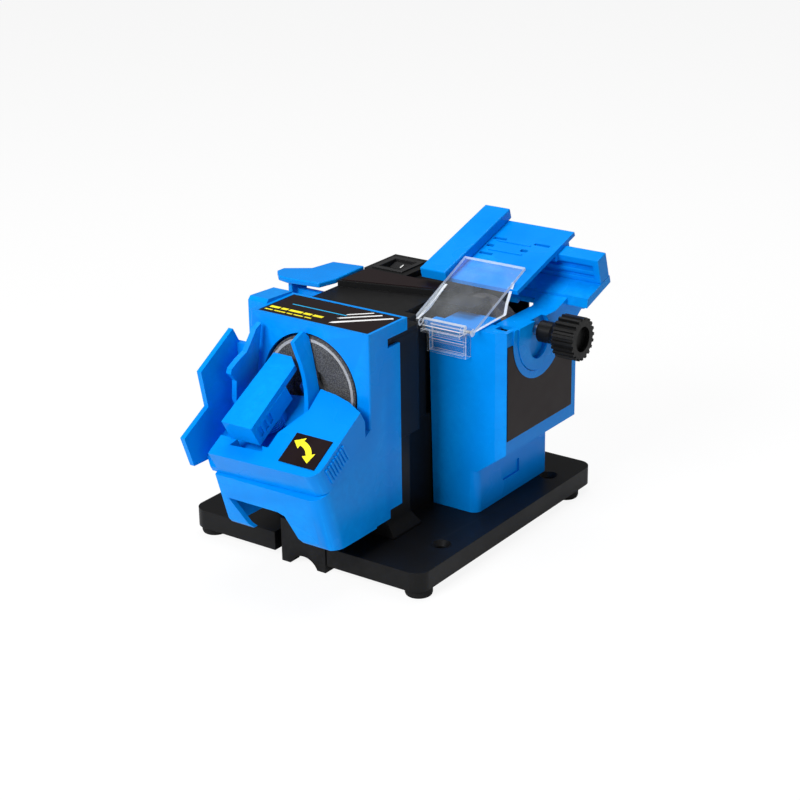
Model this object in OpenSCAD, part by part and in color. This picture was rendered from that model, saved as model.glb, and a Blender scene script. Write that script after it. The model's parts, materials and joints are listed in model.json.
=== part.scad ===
// Bench sharpener for twist drills and chisels.
// A motor in the middle turns a drill wheel at the front end of its shaft and, through a flat
// belt, a second spindle with the chisel wheel at the right rear. A swinging jig holds the drill
// against the front wheel. A tilting table with a sliding carriage holds the chisel.
// X points to the right, +Y to the rear, +Z up. The origin lies on the bench, below the
// motor shaft and near the middle of the base.

/* [Base] */
// Width of the base plate
base_w = 156; // [152:1:164]
// Depth of the base plate
base_d = 178; // [172:1:190]
// Thickness of the base plate
base_t = 11; // [9:0.5:13]
// Corner radius of the base plate
base_corner_r = 8; // [4:1:12]
// Height of the rubber feet
foot_h = 5; // [4:0.5:6]
// Diameter of the rubber feet
foot_d = 15; // [12:0.5:16]
// Spacing of the bench screw holes across
bench_dx = 128; // [124:1:130]
// Spacing of the bench screw holes front to rear
bench_dy = 111; // [108:1:113]
// Diameter of the bench screw holes
bench_hole_d = 5.5; // [4.5:0.1:6]

/* [Motor] */
// Height of the motor shaft above the bench
shaft_z = 100.5; // [99:0.5:102]
// Diameter of the motor shaft
shaft_d = 8; // [7:0.5:8]
// Running clearance of a shaft in a bush, on the radius
run_gap = 0.05; // [0.02:0.01:0.1]
// Gap between parts that move past each other
free_gap = 0.4; // [0.3:0.05:0.5]

/* [Wheels] */
// Diameter of the drill grinding wheel
drill_wheel_d = 59; // [56:0.5:60]
// Thickness of the drill grinding wheel
drill_wheel_t = 11; // [8:0.5:12]
// Diameter of the chisel grinding wheel
chisel_wheel_d = 50; // [46:0.5:50]
// Thickness of the chisel grinding wheel
chisel_wheel_t = 10; // [6:0.5:10]
// Distance of the chisel spindle to the right of the motor shaft
spindle_x = 38; // [37.5:0.25:38.5]
// Height of the chisel spindle above the bench
spindle_z = 104.5; // [104:0.25:105]
// Diameter of the chisel spindle
spindle_d = 8; // [7:0.5:8]

/* [Drill jig] */
// Slope of the jig's bed, so that a drill meets the wheel at half of a 118 degree point
jig_slope = 31; // [30:0.5:32]
// Thickness of the jig's body
jig_t = 16; // [15:0.5:16.5]
// Half of the jig's width
jig_half_w = 40; // [38:0.5:41]

/* [Chisel table] */
// Slope of the table as set
table_slope = 17; // [15:0.5:18]
// Height of the table's pivot above the bench
pivot_z = 117; // [116.5:0.25:117.5]
// Place of the table's pivot behind the middle of the base
pivot_y = 28; // [27.5:0.25:28.5]
// Radius of the round lug on the table's cheek
lug_r = 22; // [21:0.5:22]
// Diameter of the table's clamp stud
stud_d = 6; // [5:0.5:6]
// Height of the carriage bed above the pivot, square to the table
bed_h = 21.5; // [21:0.5:22]

/* [Hidden] */
$fn = 48;
base_z = foot_h;
base_top = base_z + base_t;
base_mid_x = -1;
base_x0 = base_mid_x - base_w / 2;
base_x1 = base_mid_x + base_w / 2;
base_y0 = -87.5;
base_y1 = base_y0 + base_d;
wall = 2.5;

blue = "#1478e6";
black = "#232427";
dark_grey = "#3c3e42";
steel = "#b9bdc2";
copper = "#b5652b";
grit_grey = "#8b8d90";
grit_white = "#d9d3cc";
clear = "#cfe4f2";
label_black = "#1a1214";

// ---------- shared shapes ----------

// Upright block with round vertical corners, between two opposite corner points
module rounded_block(low, high, r) {
  x0 = low[0];
  y0 = low[1];
  w = high[0] - x0;
  d = high[1] - y0;
  h = high[2] - low[2];
  translate([x0, y0, low[2]]) {
    translate([r, 0, 0])
      cube([w - 2 * r, d, h]);
    translate([0, r, 0])
      cube([w, d - 2 * r, h]);
    for (x = [r, w - r], y = [r, d - r])
      translate([x, y, 0])
        cylinder(r = r, h = h);
  }
}

// Plain block between two opposite corner points
module block(low, high) {
  translate(low)
    cube(high - low);
}

// Children drawn in the YZ plane, pushed along X from x0 to x1
module across_x(x0, x1) {
  translate([x0, 0, 0])
    rotate([90, 0, 90])
      linear_extrude(x1 - x0)
        children();
}

// Children drawn in the XZ plane, pushed along Y from y0 to y1
module along_y(y0, y1) {
  translate([0, y1, 0])
    rotate([90, 0, 0])
      linear_extrude(y1 - y0)
        children();
}

// Round bar along Y between y0 and y1
module rod_y(r, y0, y1, x = 0, z = shaft_z) {
  translate([x, y0, z])
    rotate([-90, 0, 0])
      cylinder(r = r, h = y1 - y0);
}

// Round bar along X between x0 and x1, on the table's pivot unless placed elsewhere
module rod_x(r, x0, x1, y = pivot_y, z = pivot_z) {
  translate([x0, y, z])
    rotate([0, 90, 0])
      cylinder(r = r, h = x1 - x0);
}

// Ring along Y, with a hole through it
module ring_y(r, hole_r, y0, y1, x = 0, z = shaft_z) {
  difference() {
    rod_y(r, y0, y1, x, z);
    rod_y(hole_r, y0 - 1, y1 + 1, x, z);
  }
}

// ---------- base ----------

notch_x0 = -20;
notch_x1 = 15.5;
notch_depth = 10;
bench_mid_y = 6;
foot_x = base_w / 2 - 8;
foot_y = [base_y0 + 9.5, base_y1 - 18];
plug_r = 2.5;
plug_h = 4;
screw_r = 2;
screw_head_r = 3.8;
pillar_screw_x = 12;
pillar_screw_y = -44;
ch_screw_x = 44;
ch_screw_y = [5, 61];

module foot_places() {
  for (x = [-foot_x, foot_x], y = foot_y)
    translate([base_mid_x + x, y, 0])
      children();
}

module bench_places() {
  for (x = [-bench_dx / 2, bench_dx / 2], y = [-bench_dy / 2, bench_dy / 2])
    translate([x, bench_mid_y + y, 0])
      children();
}

module screw_places() {
  for (x = [-pillar_screw_x, pillar_screw_x])
    translate([x, pillar_screw_y, 0])
      children();
  for (y = ch_screw_y)
    translate([ch_screw_x, y, 0])
      children();
}

module base_plate() {
  pocket_top = base_top - 4;
  pocket_nx = 6;
  pocket_ny = 7;
  rib = 2;
  bench_sink = 2.6;
  x_in = base_w / 2 - 20;
  y_in = base_d / 2 - 16;
  cell_x = 2 * x_in / pocket_nx;
  cell_y = 2 * y_in / pocket_ny;
  color(black)
  difference() {
    rounded_block([base_x0, base_y0, base_z], [base_x1, base_y1, base_top], base_corner_r);
    block([notch_x0, base_y0 - 1, base_z - 1], [notch_x1, base_y0 + notch_depth, base_top + 1]);
    bench_places() {
      translate([0, 0, base_z - 1])
        cylinder(d = bench_hole_d, h = base_t + 2);
      translate([0, 0, base_top - bench_sink + 0.01])
        cylinder(r1 = bench_hole_d / 2, r2 = bench_hole_d / 2 + bench_sink, h = bench_sink);
    }
    foot_places()
      translate([0, 0, base_z - 1])
        cylinder(r = plug_r, h = plug_h + 1);
    screw_places() {
      translate([0, 0, base_z - 1])
        cylinder(r = screw_r, h = base_t + 2);
      translate([0, 0, base_z - 1])
        cylinder(r = screw_head_r, h = pocket_top - base_z + 1);
    }
    for (i = [0 : pocket_nx - 1], j = [0 : pocket_ny - 1])
      translate([base_mid_x - x_in + i * cell_x, base_y0 + 16 + j * cell_y, base_z - 1])
        translate([rib / 2, rib / 2, 0])
          cube([cell_x - rib, cell_y - rib, pocket_top - base_z + 1]);
  }
}

module rubber_feet() {
  color(black)
  foot_places() {
    cylinder(d1 = foot_d - 1, d2 = foot_d, h = 1.5);
    translate([0, 0, 1.5])
      cylinder(d = foot_d, h = foot_h - 1.5);
    translate([0, 0, foot_h])
      cylinder(r = plug_r - 0.02, h = plug_h - 0.5);
  }
}

// ---------- front bracket: stands in the base's notch and carries the jig's pivot ----------

bracket_x0 = -15.5;
bracket_x1 = 14.5;
bracket_front_y = base_y0;
pin_r = 4;
jig_origin = [0, -96.1, 93.6];
pivot_v = -8;
jig_swing = 9;

// Turns its children into the jig's sloping frame: Y runs up the slope, Z stands off the bed
module in_jig() {
  translate(jig_origin)
    rotate([jig_slope, 0, 0])
      children();
}

module front_bracket() {
  web_t = 8;
  foot_gap = 0.3;
  arch_r = 10;
  web_top = 50;
  color(black)
  difference() {
    union() {
      block([bracket_x0, bracket_front_y, foot_gap], [bracket_x1, bracket_front_y + web_t, 26]);
      block([-11, bracket_front_y, 26], [11, bracket_front_y + web_t, web_top]);
      for (x = [bracket_x0, bracket_x1 - 3])
        block([x, bracket_front_y + web_t, base_top], [x + 3, -60, 26]);
      block([bracket_x0, bracket_front_y + web_t, base_top], [bracket_x1, -62, base_top + 3]);
    }
    translate([(bracket_x0 + bracket_x1) / 2, bracket_front_y - 1, foot_gap - 4])
      rotate([-90, 0, 0])
        cylinder(r = arch_r, h = web_t + 2);
  }
}

// ---------- motor body ----------

shell_front = -59.7;
shell_rear = 52;
shell_x0 = -38;
shell_x1 = 23.5;
box_half_w = 39;
bell_half_w = box_half_w - 2;
bell_rear = -29;
shell_mid_x1 = 27.5;
shell_mid_rear = -8.5;
pillar_top = 70;
// room for the guard's hinge end, as two opposite corners
guard_room = [[20, -18.5, 121.5], [30, 6, 132]];
shell_top = 128;

module pillar_plan() {
  polygon([[-36, -60], [36, -60], [36, -38], [27, -29], [27, -12], [28.2, -8], [28.2, 20], [-28.2, 20],
    [-28.2, -8], [-27, -12], [-27, -29], [-36, -38]]);
}

module motor_pillar() {
  flare_x = 40.5;
  color(black)
  difference() {
    union() {
      translate([0, 0, base_top])
        linear_extrude(pillar_top - base_top)
          pillar_plan();
      hull() {
        block([-flare_x, -60, base_top], [flare_x, -34, base_top + 1.5]);
        block([-36, -60, base_top + 8], [36, -39, base_top + 9]);
      }
    }
    screw_places()
      translate([0, 0, base_top - 1])
        cylinder(r = screw_r, h = 13);
  }
}

module motor_shell() {
  w = wall;
  color(black)
  difference() {
    union() {
      rounded_block([-bell_half_w, shell_front, pillar_top], [bell_half_w, bell_rear, shell_top], 2);
      rounded_block([shell_x0, bell_rear - 6, pillar_top], [shell_mid_x1, shell_mid_rear, shell_top], 2);
      rounded_block([shell_x0, -16, pillar_top], [shell_x1, shell_rear, shell_top], 2);
    }
    difference() {
      union() {
        block([-bell_half_w + w, shell_front + 6, pillar_top + w],
          [bell_half_w - w, bell_rear - w, shell_top + 1]);
        block([shell_x0 + w, bell_rear - 8, pillar_top + w],
          [shell_mid_x1 - w, shell_mid_rear - w, shell_top + 1]);
        block([shell_x0 + w, -16, pillar_top + w], [shell_x1 - w, shell_rear - w, shell_top + 1]);
      }
      // wall that carries the rear bearing
      difference() {
        block([shell_x0, 5, pillar_top], [shell_x1, 14, shaft_z + 14]);
        rod_y(bearing_r, 7, 16);
        rod_y(6, 4, 16);
      }
      // saddle under the stator
      difference() {
        block([-20, core_y0, pillar_top], [20, core_y1, 80]);
        rod_y(stator_r, core_y0 - 1, core_y1 + 1);
      }
      // corner that stays closed below the guard
      block([guard_room[0][0] - wall, guard_room[0][1] - wall, guard_room[0][2] - wall], [30, 6.5, 130]);
    }
    block(guard_room[0], guard_room[1]);
    // seat of the front bearing and way out of the shaft
    rod_y(bearing_r, shell_front + 2, shell_front + 9);
    rod_y(6, shell_front - 1, shell_front + 9);
    // side window for the chisel wheel and the belt
    block([shell_x1 - w - 1, 15, 83], [shell_x1 + 1, 47.5, shell_top + 1]);
    // cooling slots in the left side
    for (i = [0 : 6])
      block([shell_x0 - 1, -26 + 6 * i, 84], [shell_x0 + w + 1, -23 + 6 * i, 116]);
  }
}

cover_z = 134;
pad_x1 = 27;
pad_rear = 25;
pod_x1 = -10;
switch_x = -25;
switch_y = 39;
switch_w = 18;
switch_d = 20;

module pad_plan(inset = 0) {
  polygon([[-37 + inset, -3 + inset], [pad_x1 - inset, 14 + inset], [pad_x1 - inset, pad_rear - inset],
    [pod_x1 - inset, pad_rear - inset], [pod_x1 - inset, shell_rear + 4 - inset],
    [-39 + inset, shell_rear + 4 - inset], [-39 + inset, pad_rear + inset], [-37 + inset, pad_rear - inset]]);
}

module motor_cover() {
  t = wall;
  wheel_room = 1.5;
  cap_r = 3;
  color(black)
  difference() {
    union() {
      // floor over the front bell, low behind the drill housing
      rounded_block([-bell_half_w, shell_front, shell_top], [bell_half_w, bell_rear, shell_top + t], cap_r);
      block([shell_x0, bell_rear - cap_r, shell_top], [shell_mid_x1, 14, shell_top + t]);
      block([shell_x0, 13, shell_top], [shell_x1, shell_rear, shell_top + t]);
      // hood under the guard, with the chisel wheel's rim in a slot
      translate([0, 0, shell_top])
        linear_extrude(t)
          polygon([[20, 6], [47, 6], [47, 24], [40, 34], [20, 39]]);
      // raised pad that carries the rating plate and the switch
      translate([0, 0, shell_top])
        linear_extrude(cover_z - shell_top)
          pad_plan();
    }
    translate([0, 0, shell_top - 1])
      linear_extrude(cover_z - t - shell_top + 1)
        pad_plan(t);
    // well of the switch
    block([switch_x - switch_w / 2, switch_y - switch_d / 2, shell_top - 1],
      [switch_x + switch_w / 2, switch_y + switch_d / 2, cover_z + 1]);
    // room for the chisel wheel below the pad
    intersection() {
      rod_y(chisel_wheel_d / 2 + wheel_room, chisel_wheel_y0 - 2, chisel_wheel_y0 + chisel_wheel_t + 2,
        spindle_x, spindle_z);
      block([shell_x1 - 12, 0, 100], [60, 60, cover_z + 1]);
    }
    block(guard_room[0], guard_room[1]);
    // cooling slots in the low floor
    for (i = [0 : 4])
      block([-22 + 10 * i, -40, shell_top - 1], [-19 + 10 * i, -31, shell_top + t + 1]);
  }
}

module rating_plate() {
  color(label_black)
  translate([0, 0, cover_z])
    linear_extrude(0.5)
      polygon([[-35.5, -1], [pad_x1 - 1, 15.8], [pad_x1 - 1, pad_rear - 1.2], [-35.5, pad_rear - 1.2]]);
}

module switch_bezel() {
  lip = 1.6;
  color(black)
  difference() {
    union() {
      block([switch_x - switch_w / 2 - lip, switch_y - switch_d / 2 - lip, cover_z],
        [switch_x + switch_w / 2 + lip, switch_y + switch_d / 2 + lip, cover_z + 0.8]);
      block([switch_x - switch_w / 2, switch_y - switch_d / 2, cover_z - 16],
        [switch_x + switch_w / 2, switch_y + switch_d / 2, cover_z + 0.1]);
    }
    block([switch_x - switch_w / 2 + lip, switch_y - switch_d / 2 + lip, cover_z - 10],
      [switch_x + switch_w / 2 - lip, switch_y + switch_d / 2 - lip, cover_z + 1]);
  }
}

rocker_z = cover_z - 4;

module switch_rocker() {
  half = switch_d / 2 - 1.6 - 1.2;
  color(dark_grey)
  rod_x(1, switch_x - switch_w / 2 + 1.65, switch_x + switch_w / 2 - 1.65, switch_y, rocker_z);
  color(dark_grey)
  across_x(switch_x - switch_w / 2 + 2.1, switch_x + switch_w / 2 - 2.1)
    translate([switch_y, rocker_z])
      polygon([[-half, 4.6], [0, 1.6], [half, 3.2], [half - 0.8, -1], [0, -4.2], [-half + 0.8, 0.5]]);
}

// ---------- motor inside ----------

stator_r = 26;
bearing_r = 11;
spindle_bearing_r = 8;
bore_r = 14.4;
core_r = 13.8;
core_y0 = -42;
core_y1 = -14;

module stator() {
  color(steel)
  difference() {
    intersection() {
      rod_y(stator_r, core_y0, core_y1);
      block([-23.5, core_y0 - 1, shaft_z - stator_r], [23.5, core_y1 + 1, shaft_z + stator_r]);
    }
    rod_y(bore_r, core_y0 - 1, core_y1 + 1);
    for (s = [-1, 1])
      block([min(s * 13, s * 20), core_y0 - 1, shaft_z - 9], [max(s * 13, s * 20), core_y1 + 1, shaft_z + 9]);
  }
}

module field_coils() {
  color(copper)
  for (s = [-1, 1])
    block([min(s * 14.6, s * 20), core_y0 - 2, shaft_z - 8.8],
      [max(s * 14.6, s * 20), core_y1 + 2, shaft_z + 8.8]);
}

module rotor_shaft() {
  color(steel)
    rod_y(shaft_d / 2, drill_wheel_front + 0.1, 48.5);
}

module armature() {
  slots = 12;
  color(dark_grey)
  difference() {
    rod_y(core_r, core_y0, core_y1);
    rod_y(shaft_d / 2, core_y0 - 1, core_y1 + 1);
    for (i = [0 : slots - 1])
      translate([0, 0, shaft_z])
        rotate([0, 360 * i / slots, 0])
          block([core_r - 3.5, core_y0 - 1, -0.9], [core_r + 1, core_y1 + 1, 0.9]);
  }
}

module commutator() {
  color(copper)
    ring_y(8, shaft_d / 2, -6, 4.5);
}

module brushes() {
  color(dark_grey)
  for (s = [-1, 1])
    block([min(s * 8.3, s * 17), -4, shaft_z - 3], [max(s * 8.3, s * 17), 5, shaft_z + 3]);
}

module cooling_fan() {
  blades = 9;
  fan_r = 23;
  color(dark_grey) {
    ring_y(8, shaft_d / 2, -51, -44.5);
    ring_y(fan_r, 7.9, -46, -44.5);
    for (i = [0 : blades - 1])
      translate([0, 0, shaft_z])
        rotate([0, 360 * i / blades, 0])
          block([7.8, -51, -0.8], [fan_r - 0.5, -45.9, 0.8]);
  }
}

module front_bearing() {
  color(steel)
    ring_y(bearing_r, shaft_d / 2 + run_gap, shell_front + 2, shell_front + 8.4);
}

module rear_bearing() {
  color(steel)
    ring_y(bearing_r, shaft_d / 2 + run_gap, 7, 14);
}

belt_y0 = 39;
belt_y1 = 45;
motor_pulley_r = 9;
spindle_pulley_r = 14;
belt_t = 1.4;
belt_gap = 0.1;

module flanged_pulley(r, x, z, bore) {
  ring_y(r, bore, belt_y0 - 0.5, belt_y1 + 0.5, x, z);
  for (y = [belt_y0 - 1.7, belt_y1 + 0.5])
    ring_y(r + 2.4, bore, y, y + 1.2, x, z);
}

module motor_pulley() {
  color(steel)
    flanged_pulley(motor_pulley_r, 0, shaft_z, shaft_d / 2);
}

module spindle_pulley() {
  color(steel)
    flanged_pulley(spindle_pulley_r, spindle_x, spindle_z, spindle_d / 2);
}

// Flat belt: one closed band wrapped round both pulleys
module belt_outline(grow) {
  hull() {
    translate([0, shaft_z])
      circle(motor_pulley_r + grow);
    translate([spindle_x, spindle_z])
      circle(spindle_pulley_r + grow);
  }
}

module drive_belt() {
  color(black)
  difference() {
    along_y(belt_y0, belt_y1)
      belt_outline(belt_gap + belt_t);
    along_y(belt_y0 - 1, belt_y1 + 1)
      belt_outline(belt_gap);
  }
}

// ---------- drill wheel ----------

drill_wheel_front = -77.2;
drill_wheel_back = drill_wheel_front + drill_wheel_t;

module drill_wheel() {
  dish_r = 12;
  color(grit_grey)
  difference() {
    rod_y(drill_wheel_d / 2, drill_wheel_front, drill_wheel_back);
    rod_y(shaft_d / 2, drill_wheel_front - 1, drill_wheel_back + 1);
    rod_y(dish_r, drill_wheel_front - 1, drill_wheel_front + 3);
  }
}

module drill_wheel_flange() {
  color(steel)
    ring_y(11, shaft_d / 2, drill_wheel_back, drill_wheel_back + 2.5);
}

module drill_wheel_nut() {
  color(steel)
  difference() {
    translate([0, drill_wheel_front + 0.3, shaft_z])
      rotate([-90, 0, 0])
        cylinder(r = 7.5, h = 2.7, $fn = 6);
    rod_y(shaft_d / 2, drill_wheel_front - 3, drill_wheel_front + 4);
  }
}

// ---------- drill housing ----------

box_front = -77.5;
box_rear = -60;
box_top = 138;
box_low = 29;
lid_rear = -43.2;
label_x0 = -34.5;
label_x1 = 37;
label_y0 = -75.7;
label_seat = 0.6;
film_t = 0.5;
mouth_r = 31;
bed_drop = jig_t + free_gap;
chin_x0 = -31.5;
chin_wall = 3;
chin_lean = 17.5;
chin_corner_r = 9;

// A point of the jig's frame, given up the slope and off the bed, as [y, z] in the model's frame
function jig_yz(v, w) = [jig_origin[1] + v * cos(jig_slope) - w * sin(jig_slope),
  jig_origin[2] + v * sin(jig_slope) + w * cos(jig_slope)];

module chin_profile(inset) {
  top_front = jig_yz(-38.5 + inset, -bed_drop - inset);
  top_back = jig_yz(14, -bed_drop - inset);
  polygon([[box_front + 4, box_low - 1], [-109 + inset, box_low - 1], [-111.5 + inset, box_low + 2],
    top_front, [box_front + 4, top_back[1] + (box_front + 4 - top_back[0]) * tan(jig_slope)]]);
}

// Block that leans with the chin's front face, so that its round right corner follows that face
module chin_plan(inset) {
  translate([0, -111.5, box_low + 2])
    rotate([chin_lean, 0, 0]) {
      rounded_block([chin_x0 + inset, inset, -40], [box_half_w - inset, 100, 90], chin_corner_r - inset);
      block([chin_x0 + inset, inset, -40], [0, 90, 90]);
    }
}

// Post that stands up inside the chin to hold the jig's pivot
module chin_boss() {
  in_jig()
    translate([0, pivot_v, -bed_drop - 10])
      cylinder(r = 9, h = 8);
}

module drill_housing() {
  color(blue)
  difference() {
    union() {
      difference() {
        union() {
          // box round the wheel
          rounded_block([-box_half_w, box_front, box_low], [box_half_w, box_rear, box_top], 1.2);
          // lid that reaches back over the motor body
          block([-box_half_w, box_rear - 2, shell_top + 3], [box_half_w, lid_rear, box_top]);
          // side flanges that clasp the motor body
          for (s = [-1, 1])
            block([min(s * (bell_half_w + 0.2), s * box_half_w), box_rear - 2, 34],
              [max(s * (bell_half_w + 0.2), s * box_half_w), -50, 126]);
          // left shoulder
          across_x(-49.8, -box_half_w + 2)
            polygon([[-66, 94], [-66, 138], [-64, 140], [-44, 139], [-44, 94]]);
          // chin under the jig
          intersection() {
            across_x(chin_x0, box_half_w)
              chin_profile(0);
            chin_plan(0);
          }
        }
        // wheel chamber
        rod_y(mouth_r + 2.5, box_front + 2.5, box_rear - 2);
        // hollow chin, open below
        intersection() {
          across_x(chin_x0 + chin_wall, box_half_w - chin_wall)
            chin_profile(chin_wall);
          chin_plan(chin_wall);
          block([chin_x0, -130, 0], [box_half_w, box_front - 2, 120]);
        }
        // space inside the shoulder
        across_x(-47.3, -box_half_w - 1.5)
          polygon([[-63, 90], [-63, 135], [-61, 137], [-40, 136], [-40, 90]]);
      }
      intersection() {
        chin_boss();
        across_x(chin_x0, box_half_w)
          chin_profile(0);
      }
    }
    // shallow seat of the label, inside a narrow rim
    block([label_x0 - 0.3, label_y0 - 0.3, box_top - label_seat],
      [label_x1 + 0.3, lid_rear - 1.7, box_top + 1]);
    // mouth, and way in of the shaft
    rod_y(mouth_r, box_front - 1, box_front + 3);
    rod_y(7, box_rear - 3, box_rear + 1);
    // cut-out between the two legs
    along_y(-126, -84)
      polygon([[-27, 45.5], [6, 45.5], [10.5, 44], [17.5, 27], [-15.5, 27]]);
    // seat of the jig's pivot
    in_jig()
      translate([0, pivot_v, -bed_drop - 9])
        cylinder(r = pin_r, h = 12);
  }
}

module drill_label() {
  color(label_black)
    block([label_x0, label_y0, box_top - label_seat],
      [label_x1, lid_rear - 2, box_top - label_seat + film_t]);
}

// ---------- drill jig ----------

jig_front = -37;
side_x = -43;

// Everything behind the housing's front face, at the middle and both ends of the jig's swing
module swing_room() {
  for (a = [-jig_swing, 0, jig_swing])
    in_jig()
      translate([0, pivot_v, 0])
        rotate([0, 0, a])
          translate([0, -pivot_v, 0])
            rotate([-jig_slope, 0, 0])
              translate(-jig_origin)
                block([-80, box_front - 0.6, 0], [80, 0, 220]);
}

module jig_body_outline() {
  corner_r = 8;
  polygon([[-jig_half_w - 2.5, jig_front + 8], [-jig_half_w + 6, jig_front],
    [jig_half_w - corner_r, jig_front + 2], [jig_half_w, jig_front + 2 + corner_r], [jig_half_w, 10.5],
    [30, 15], [19.5, 17.6], [7, 19], [-jig_half_w - 2.5, 19]]);
  translate([jig_half_w - corner_r, jig_front + 2 + corner_r])
    circle(corner_r);
}

module drill_jig() {
  channel_x0 = -33;
  bed_x0 = -29.5;
  channel_x1 = 7;
  grip_ribs = 8;
  grip_pitch = 2.3;
  color(blue)
  difference() {
    union() {
      // wall between the side plate and the left cheek, parallel to the housing's front
      along_y(-88, -84.2)
        polygon([[side_x + 0.5, 83], [-35.3, 83], [-30.9, 122], [side_x + 0.5, 122]]);
      in_jig()
      difference() {
        union() {
          translate([0, 0, -jig_t])
            linear_extrude(jig_t)
              jig_body_outline();
          // left side plate with its stepped top
          across_x(side_x, side_x + 3)
            polygon([[23, -12], [23.5, 29], [-8, 29], [-15, 9], [-38, 9.5], [-41.5, -9], [-30, -jig_t]]);
          // grip ribs on the right flank
          for (i = [0 : grip_ribs - 1])
            translate([jig_half_w - 1, -27 + grip_pitch * i, 3.5 - jig_t])
              cube([1.9, 1.2, jig_t - 6]);
        }
        // channel that the clamp bar sits in
        block([channel_x0, -24, -9], [channel_x1 - 5, 30, 2]);
        translate([0, 0, -9])
          linear_extrude(11)
            polygon([[channel_x1 - 6, -20], [2, -13.7], [channel_x1 + 3.5, 4], [channel_x1 + 1, 30],
              [-10, 30], [-10, -20]]);
        // finger pocket in front of the bar
        translate([0, 0, -7])
          linear_extrude(9)
            polygon([[-20.5, -28.5], [-17.5, -22], [-3, -22], [0.5, -27.2]]);
        // left floor, lower than the bed and open at the front
        block([side_x + 3, jig_front - 5, -12.5], [bed_x0, 14, 1]);
        // pivot bore
        translate([0, pivot_v, -jig_t - 1])
          cylinder(r = pin_r + run_gap, h = jig_t + 3);
      }
    }
    in_jig()
      guide_shape();
    swing_room();
  }
}

// Upright cheek of the drill guide, drawn across the jig at x and tipped to one side by lean
module jig_guide_side(x, lean, outline) {
  translate([x, 0, 0])
    rotate([0, lean, 0])
      across_x(-1.5, 1.5)
        polygon(outline);
}

module guide_shape() {
  jig_guide_side(-33.5, 8, [[-4, -12.3], [-3, 4], [2, 14], [0, 22], [2, 24], [9, 23.5], [16, 22], [23, 25],
    [28, 27.5], [33, 27], [34, 20], [30, 10], [22, -12.3]]);
  jig_guide_side(5.2, -15, [[0, -9], [8, -2], [13.5, 4], [17.5, 10], [20.5, 16], [23, 23], [25, 28],
    [29.5, 27.6], [33.8, 27], [34.5, 20], [32, 10], [26, -4], [23, -9]]);
  block([-34, -4, -9], [6, 20, -7]);
  block([-34, -4, -12.4], [-30, 13.5, -8]);
}

module jig_guide() {
  color(blue)
  difference() {
    in_jig()
      guide_shape();
    swing_room();
  }
}

bar_x0 = -22.2;
bar_x1 = -2.3;
module clamp_bar() {
  color(blue)
  in_jig()
  difference() {
    union() {
      translate([0, 0, 10.5])
        linear_extrude(3.5)
          polygon([[bar_x0, -24.5], [bar_x1, -24.5], [bar_x1 - 0.5, 20], [bar_x1 - 6, 25], [bar_x0 + 2, 25]]);
      block([bar_x0, -24.5, 0.6], [bar_x1, 8, 10.6]);
    }
    for (i = [0 : 2])
      block([bar_x1 - 1.2, -21 + 4.5 * i, 3], [bar_x1 + 1, -18 + 4.5 * i, 9.5]);
    translate([(bar_x0 + bar_x1) / 2, -4, -1])
      cylinder(r = 3.1, h = 11.5);
  }
}

module clamp_screw() {
  ridges = 5;
  color(blue)
  in_jig()
  translate([(bar_x0 + bar_x1) / 2, -4, 0]) {
    translate([0, 0, -6.6])
      cylinder(r = 3, h = 15);
    for (i = [0 : ridges - 1])
      translate([0, 0, -6.6 + 1.3 * i])
        cylinder(r = 9, h = 0.8);
    translate([0, 0, -6.6])
      cylinder(r = 8.2, h = 6.2);
  }
}

module jig_pivot() {
  color(steel)
  in_jig()
    translate([0, pivot_v, -bed_drop - 9])
      cylinder(r = pin_r, h = bed_drop - 0.6);
}

module arrow_label() {
  color(label_black)
  in_jig()
    block([13, -30, 0], [36, -11, 0.5]);
}

// ---------- side rest ----------

module side_rest() {
  top = 135;
  t = 3;
  color(blue) {
    translate([0, 0, top - t])
      linear_extrude(t)
        polygon([[-69, -16], [-75.5, -9], [-75.5, -3], [-62, 6], [-59, 22], [-39, 25], [-38, -3],
          [-41, -14.8], [-62, -17.5]]);
    block([-64, -14, 112], [-61, 0, top - t]);
    block([-64, -9, 112], [shell_x0, -5, 127]);
  }
}

// ---------- chisel housing ----------

ch_x0 = 27.8;
ch_foot_x0 = 30;
ch_leg_x1 = 59;
ch_x1 = 76;
ch_y0 = -7;
ch_y1 = 69;
ch_top = 124;
ch_step = 54;
ch_slope_z = 41.5;
rim_r = lug_r + 4.5;
frame_z = 76;

// Plan of the upper part, with its two chamfered corners
module ch_plan(inset) {
  cut = 5.5;
  polygon([[ch_x0 - 5, ch_y0 + inset], [ch_x1 - cut, ch_y0 + inset], [ch_x1 - inset, ch_y0 + 3 + inset],
    [ch_x1 - inset, ch_y1 - inset], [ch_x0 - 5, ch_y1 - inset]]);
}

// Front outline: slanted left side, narrow leg, and a wide body above a sloping underside
module ch_profile(inset) {
  polygon([[ch_x0 + inset, ch_top - inset], [ch_foot_x0 + inset, base_top],
    [ch_leg_x1 - inset, base_top], [ch_leg_x1 - inset, ch_slope_z + inset * 0.5],
    [ch_x1 - inset, ch_step + inset * 0.5], [ch_x1 - inset, ch_top - inset]]);
}

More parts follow.
